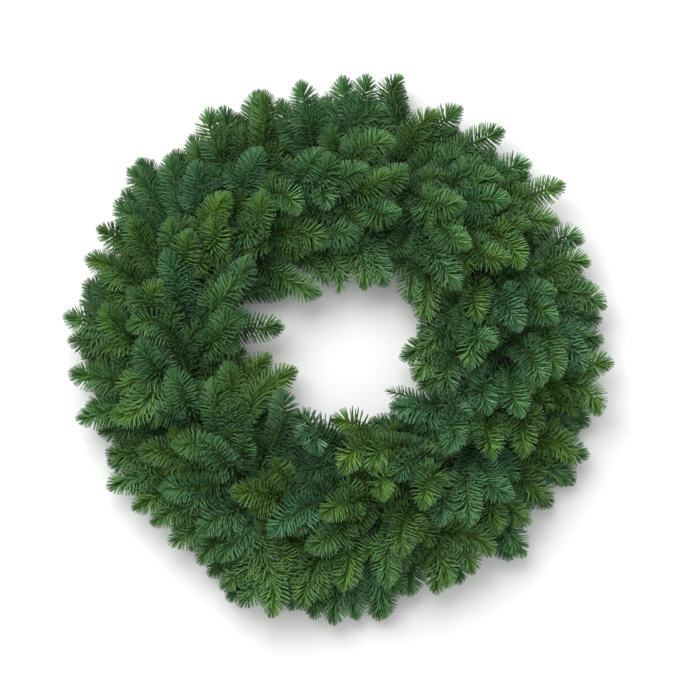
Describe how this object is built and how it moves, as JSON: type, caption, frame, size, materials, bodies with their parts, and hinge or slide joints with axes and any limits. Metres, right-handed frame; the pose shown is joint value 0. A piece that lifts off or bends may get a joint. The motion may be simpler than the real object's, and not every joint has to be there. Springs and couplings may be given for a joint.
{
  "type": "evergreen wreath",
  "caption": "Round wreath of fresh fir sprays, all pointing clockwise, held by bent wire clamps on a wire ring, with an open centre.",
  "frame": {"origin": "centre of the wire ring, on the surface that the wreath's back rests on", "axes": "+Z out of the wreath's front, away from the surface it lies on; +Y towards the top of the wreath as pictured; +X towards its right"},
  "size_m": [0.6141, 0.6145, 0.125],
  "materials": {
    "fir_foliage": "waxy satin needles, green to bluish green with paler bands below",
    "fir_bark": "matt, finely ridged bark",
    "fir_bud": "slightly resinous, satin",
    "ring_wire": "dark green enamel, satin"
  },
  "bodies": {
    "root": {"wire_ring": "ring_wire", "clamp_01": "ring_wire", "clamp_02": "ring_wire", "clamp_03": "ring_wire", "clamp_04": "ring_wire", "clamp_05": "ring_wire", "clamp_06": "ring_wire", "clamp_07": "ring_wire", "clamp_08": "ring_wire", "clamp_09": "ring_wire", "clamp_10": "ring_wire", "clamp_11": "ring_wire", "clamp_12": "ring_wire", "clamp_13": "ring_wire", "clamp_14": "ring_wire", "outer_spray_01": "fir_foliage", "outer_spray_02": "fir_foliage", "outer_spray_03": "fir_foliage", "outer_spray_04": "fir_foliage", "outer_spray_05": "fir_foliage", "outer_spray_06": "fir_foliage", "outer_spray_07": "fir_foliage", "outer_spray_08": "fir_foliage", "outer_spray_09": "fir_foliage", "outer_spray_10": "fir_foliage", "outer_spray_11": "fir_foliage", "outer_spray_12": "fir_foliage", "outer_spray_13": "fir_foliage", "outer_spray_14": "fir_foliage", "inner_spray_01": "fir_foliage", "inner_spray_02": "fir_foliage", "inner_spray_03": "fir_foliage", "inner_spray_04": "fir_foliage", "inner_spray_05": "fir_foliage", "inner_spray_06": "fir_foliage", "inner_spray_07": "fir_foliage", "inner_spray_08": "fir_foliage", "inner_spray_09": "fir_foliage", "inner_spray_10": "fir_foliage", "inner_spray_11": "fir_foliage", "inner_spray_12": "fir_foliage", "inner_spray_13": "fir_foliage", "inner_spray_14": "fir_foliage", "crown_spray_01": "fir_foliage", "crown_spray_02": "fir_foliage", "crown_spray_03": "fir_foliage", "crown_spray_04": "fir_foliage", "crown_spray_05": "fir_foliage", "crown_spray_06": "fir_foliage", "crown_spray_07": "fir_foliage", "crown_spray_08": "fir_foliage", "crown_spray_09": "fir_foliage", "crown_spray_10": "fir_foliage", "crown_spray_11": "fir_foliage", "crown_spray_12": "fir_foliage", "crown_spray_13": "fir_foliage", "crown_spray_14": "fir_foliage"}
  },
  "joints": []
}
